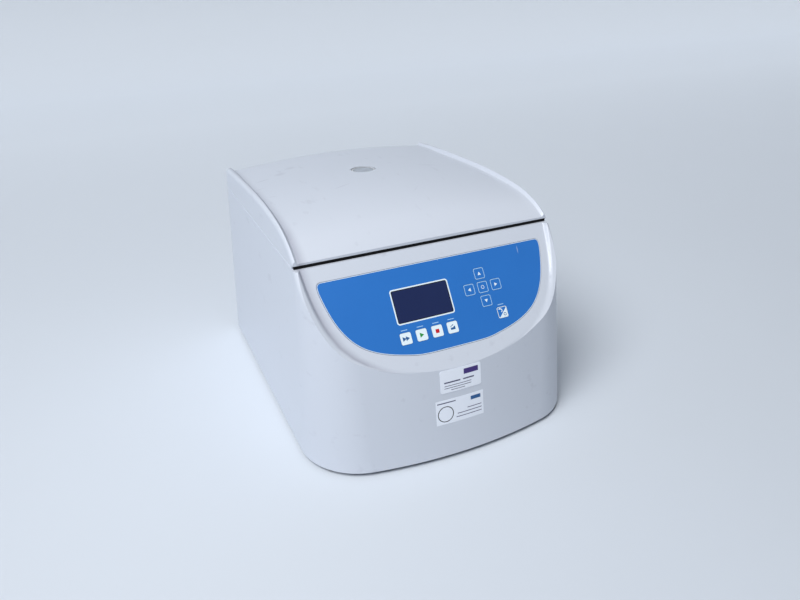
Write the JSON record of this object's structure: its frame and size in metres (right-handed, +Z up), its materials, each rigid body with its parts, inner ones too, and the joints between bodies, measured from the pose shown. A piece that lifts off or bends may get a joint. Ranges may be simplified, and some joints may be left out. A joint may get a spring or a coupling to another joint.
{
  "type": "microplate centrifuge",
  "caption": "Bench centrifuge for microplates with a sloping key panel, rear-hinged lid with inspection window, and a swing-out rotor with two plate carriers.",
  "frame": {"origin": "middle of the footprint, on the bench", "axes": "+Z up, -Y the control panel's side, +X to the user's right"},
  "size_m": [0.378, 0.48, 0.2941],
  "materials": {
    "casing_paint": "moulded, satin",
    "panel_paint": "fine powder coat",
    "zinc_steel": "bright zinc",
    "mild_steel": "rolled, blackened",
    "stainless": "brushed",
    "brass": "machined",
    "cast_aluminium": "as cast",
    "anodised_aluminium": "matt anodised",
    "black_rubber": "matt",
    "black_plastic": "fine grain",
    "liner_plastic": "smooth",
    "overlay_film": "printed film, satin",
    "display_glass": "hard coated",
    "key_white": "printed film",
    "key_blue": "printed film",
    "green_board": "solder resist",
    "clear_window": "clear"
  },
  "bodies": {
    "base": {"casing": "casing_paint", "base_plate": "zinc_steel", "feet": "black_rubber", "base_screws": "zinc_steel", "rear_panel": "panel_paint", "rear_panel_screws": "zinc_steel", "power_inlet": "black_plastic", "inlet_pins": "brass", "fuse_drawer": "black_plastic", "power_switch_frame": "black_plastic", "chamber_bowl": "stainless", "bowl_seal": "black_rubber", "guard_ring": "mild_steel", "guard_posts": "zinc_steel", "motor_posts": "zinc_steel", "motor_dampers": "black_rubber", "motor_plate": "zinc_steel", "motor_housing": "cast_aluminium", "shaft_bellows": "black_rubber", "casing_hinge_leaves": "stainless", "hinge_pins": "stainless", "casing_hinge_screws": "zinc_steel", "latch_frame": "zinc_steel", "latch_pivot_pin": "stainless", "latch_motor": "zinc_steel", "control_overlay": "overlay_film", "display_window": "display_glass", "display_module": "green_board", "control_board": "green_board", "drive_board": "green_board", "drive_components": "black_plastic"},
    "lid": {"lid_shell": "casing_paint", "lid_liner": "liner_plastic", "liner_screws": "zinc_steel", "sight_tube": "liner_plastic", "inspection_window": "clear_window", "lid_edge_seal": "black_rubber", "lid_striker": "stainless", "lid_hinge_leaves": "stainless", "lid_hinge_screws": "zinc_steel"},
    "rotor": {"rotor_shaft": "stainless", "rotor_yoke": "anodised_aluminium", "rotor_nut": "stainless", "trunnion_pins": "stainless"},
    "carrier_left": {"carrier_left": "anodised_aluminium"},
    "carrier_right": {"carrier_right": "anodised_aluminium"},
    "latch_hook": {"latch_hook": "zinc_steel"},
    "power_rocker": {"power_rocker": "black_plastic"},
    "key_short": {"key_short": "key_white"},
    "key_start": {"key_start": "key_white"},
    "key_stop": {"key_stop": "key_white"},
    "key_lid": {"key_lid": "key_white"},
    "key_up": {"key_up": "key_blue"},
    "key_left": {"key_left": "key_blue"},
    "key_set": {"key_set": "key_blue"},
    "key_right": {"key_right": "key_blue"},
    "key_down": {"key_down": "key_blue"},
    "key_back": {"key_back": "key_white"}
  },
  "joints": [
    {"name": "lid_hinge", "type": "hinge", "parent": "base", "child": "lid", "pos_m": [0, 0.2352, 0.2517], "axis": [-1, 0, 0], "range_deg": [0, 80]},
    {"name": "rotor_spin", "type": "hinge", "parent": "base", "child": "rotor", "pos_m": [0, 0.065, 0.2], "axis": [0, 0, 1], "continuous": true},
    {"name": "carrier_left_swing", "type": "hinge", "parent": "rotor", "child": "carrier_left", "pos_m": [-0.064, 0.065, 0.205], "axis": [0, 1, 0], "range_deg": [0, 90]},
    {"name": "carrier_right_swing", "type": "hinge", "parent": "rotor", "child": "carrier_right", "pos_m": [0.064, 0.065, 0.205], "axis": [0, -1, 0], "range_deg": [0, 90]},
    {"name": "latch_swing", "type": "hinge", "parent": "base", "child": "latch_hook", "pos_m": [0, -0.128, 0.218], "axis": [-1, 0, 0], "range_deg": [0, 18]},
    {"name": "power_rocker_tilt", "type": "hinge", "parent": "base", "child": "power_rocker", "pos_m": [-0.028, 0.2255, 0.062], "axis": [1, 0, 0], "range_deg": [0, 16]},
    {"name": "key_short_press", "type": "slide", "parent": "base", "child": "key_short", "axis": [0, 0.8281, -0.5606], "range_m": [0, 0.0004], "stiffness_N_per_m": 300},
    {"name": "key_start_press", "type": "slide", "parent": "base", "child": "key_start", "axis": [0, 0.8281, -0.5606], "range_m": [0, 0.0004], "stiffness_N_per_m": 300},
    {"name": "key_stop_press", "type": "slide", "parent": "base", "child": "key_stop", "axis": [0, 0.8281, -0.5606], "range_m": [0, 0.0004], "stiffness_N_per_m": 300},
    {"name": "key_lid_press", "type": "slide", "parent": "base", "child": "key_lid", "axis": [0, 0.8281, -0.5606], "range_m": [0, 0.0004], "stiffness_N_per_m": 300},
    {"name": "key_up_press", "type": "slide", "parent": "base", "child": "key_up", "axis": [0, 0.8281, -0.5606], "range_m": [0, 0.0004], "stiffness_N_per_m": 300},
    {"name": "key_left_press", "type": "slide", "parent": "base", "child": "key_left", "axis": [0, 0.8281, -0.5606], "range_m": [0, 0.0004], "stiffness_N_per_m": 300},
    {"name": "key_set_press", "type": "slide", "parent": "base", "child": "key_set", "axis": [0, 0.8281, -0.5606], "range_m": [0, 0.0004], "stiffness_N_per_m": 300},
    {"name": "key_right_press", "type": "slide", "parent": "base", "child": "key_right", "axis": [0, 0.8281, -0.5606], "range_m": [0, 0.0004], "stiffness_N_per_m": 300},
    {"name": "key_down_press", "type": "slide", "parent": "base", "child": "key_down", "axis": [0, 0.8281, -0.5606], "range_m": [0, 0.0004], "stiffness_N_per_m": 300},
    {"name": "key_back_press", "type": "slide", "parent": "base", "child": "key_back", "axis": [0, 0.8281, -0.5606], "range_m": [0, 0.0004], "stiffness_N_per_m": 300}
  ]
}
